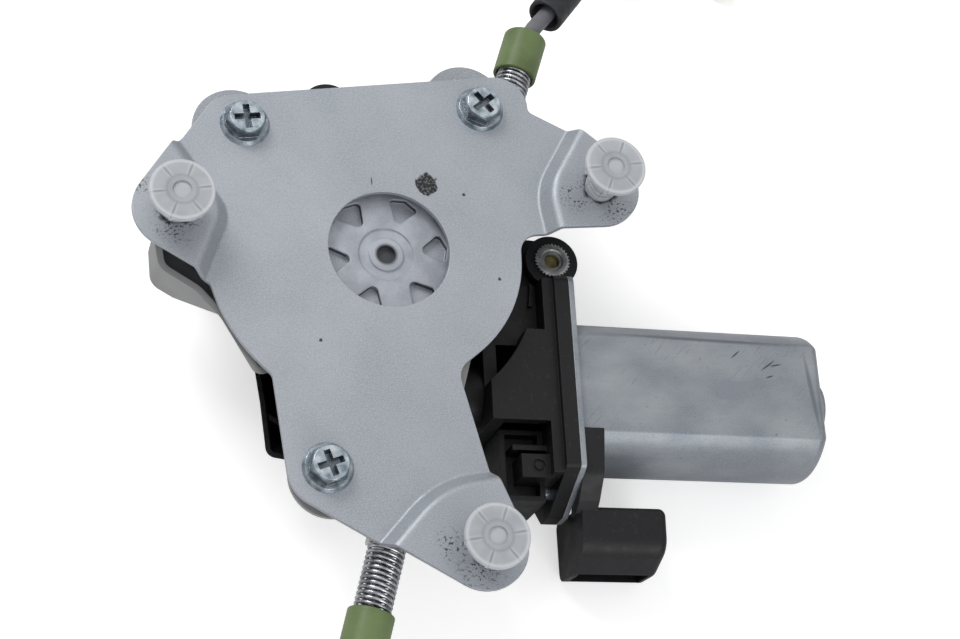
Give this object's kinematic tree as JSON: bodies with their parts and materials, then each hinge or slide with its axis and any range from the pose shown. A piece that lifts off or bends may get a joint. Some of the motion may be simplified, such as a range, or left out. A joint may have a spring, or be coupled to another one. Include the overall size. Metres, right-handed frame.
{
  "type": "window regulator drive unit",
  "caption": "Cable window regulator drive: stepped steel mounting plate, cable drum, worm gearbox, flat-sided motor, plug socket and two sprung cable conduits.",
  "frame": {"origin": "on the cable drum's axis, in the plane where the three ears rest on the door panel", "axes": "+Z along the drum's axis towards the door panel, +X along the motor away from the drum, +Y up in the door"},
  "size_m": [0.2201, 0.363, 0.0606],
  "materials": {
    "zinc_plated_steel": "satin",
    "motor_can": "satin",
    "cast_drum": "satin",
    "grey_housing": "matte",
    "white_nylon": "satin",
    "black_plastic": "matte",
    "green_plastic": "satin",
    "grey_conduit": "satin",
    "black_rubber": "matte",
    "spring_steel": "bright",
    "cable_steel": "satin",
    "ground_steel": "ground",
    "brass": "satin",
    "copper": "satin",
    "ferrite": "matte",
    "carbon": "matte",
    "laminated_steel": "oiled",
    "wheel_plastic": "satin"
  },
  "bodies": {
    "root": {"mounting_plate": "zinc_plated_steel", "backing_plate": "grey_housing", "drum_housing": "grey_housing", "plate_screws": "zinc_plated_steel", "left_clip": "white_nylon", "right_clip": "white_nylon", "lower_clip": "white_nylon", "upper_socket": "white_nylon", "lower_socket": "white_nylon", "upper_spring": "spring_steel", "lower_spring": "spring_steel", "upper_cable": "cable_steel", "lower_cable": "cable_steel", "shaft_pin": "ground_steel", "motor_yoke": "motor_can", "magnets": "ferrite", "rear_bearing": "brass", "front_bearing": "brass", "thrust_pad": "ground_steel", "brush_holder": "black_plastic", "brushes": "carbon", "yoke_screws": "zinc_plated_steel", "gearbox_housing": "black_plastic", "gearbox_cover": "black_plastic", "lug_inserts": "zinc_plated_steel", "lug_screws": "brass", "connector_shroud": "black_plastic", "connector_pins": "brass"},
    "drum": {"cable_drum": "cast_drum", "drum_cable": "cable_steel", "drive_dog": "black_plastic", "damper": "black_rubber", "worm_wheel": "wheel_plastic"},
    "armature": {"armature_shaft": "ground_steel", "worm": "ground_steel", "armature_core": "laminated_steel", "armature_windings": "copper", "commutator": "copper"},
    "upper_line": {"upper_sleeve": "green_plastic", "upper_conduit": "grey_conduit", "upper_coil": "grey_conduit", "upper_ferrule": "zinc_plated_steel", "upper_cable_end": "cable_steel", "rattle_tube": "black_rubber"},
    "lower_line": {"lower_sleeve": "green_plastic", "lower_conduit": "grey_conduit", "lower_coil": "grey_conduit", "lower_ferrule": "zinc_plated_steel", "lower_cable_end": "cable_steel"}
  },
  "joints": [
    {"name": "armature_spin", "type": "hinge", "parent": "root", "child": "armature", "pos_m": [0, -0.033, -0.032], "axis": [1, 0, 0], "continuous": true},
    {"name": "drum_spin", "type": "hinge", "parent": "root", "child": "drum", "pos_m": [0, 0, -0.0145], "axis": [0, 0, 1], "continuous": true},
    {"name": "upper_tension", "type": "slide", "parent": "root", "child": "upper_line", "axis": [0.314, 0.9494, 0], "range_m": [0, 0.003], "deforming": ["upper_spring"]},
    {"name": "lower_tension", "type": "slide", "parent": "root", "child": "lower_line", "axis": [-0.2656, -0.9641, 0], "range_m": [0, 0.003], "deforming": ["lower_spring"]}
  ],
  "couplings": [
    {"joint": "drum_spin", "follows": "armature_spin", "ratio": -0.013889}
  ]
}
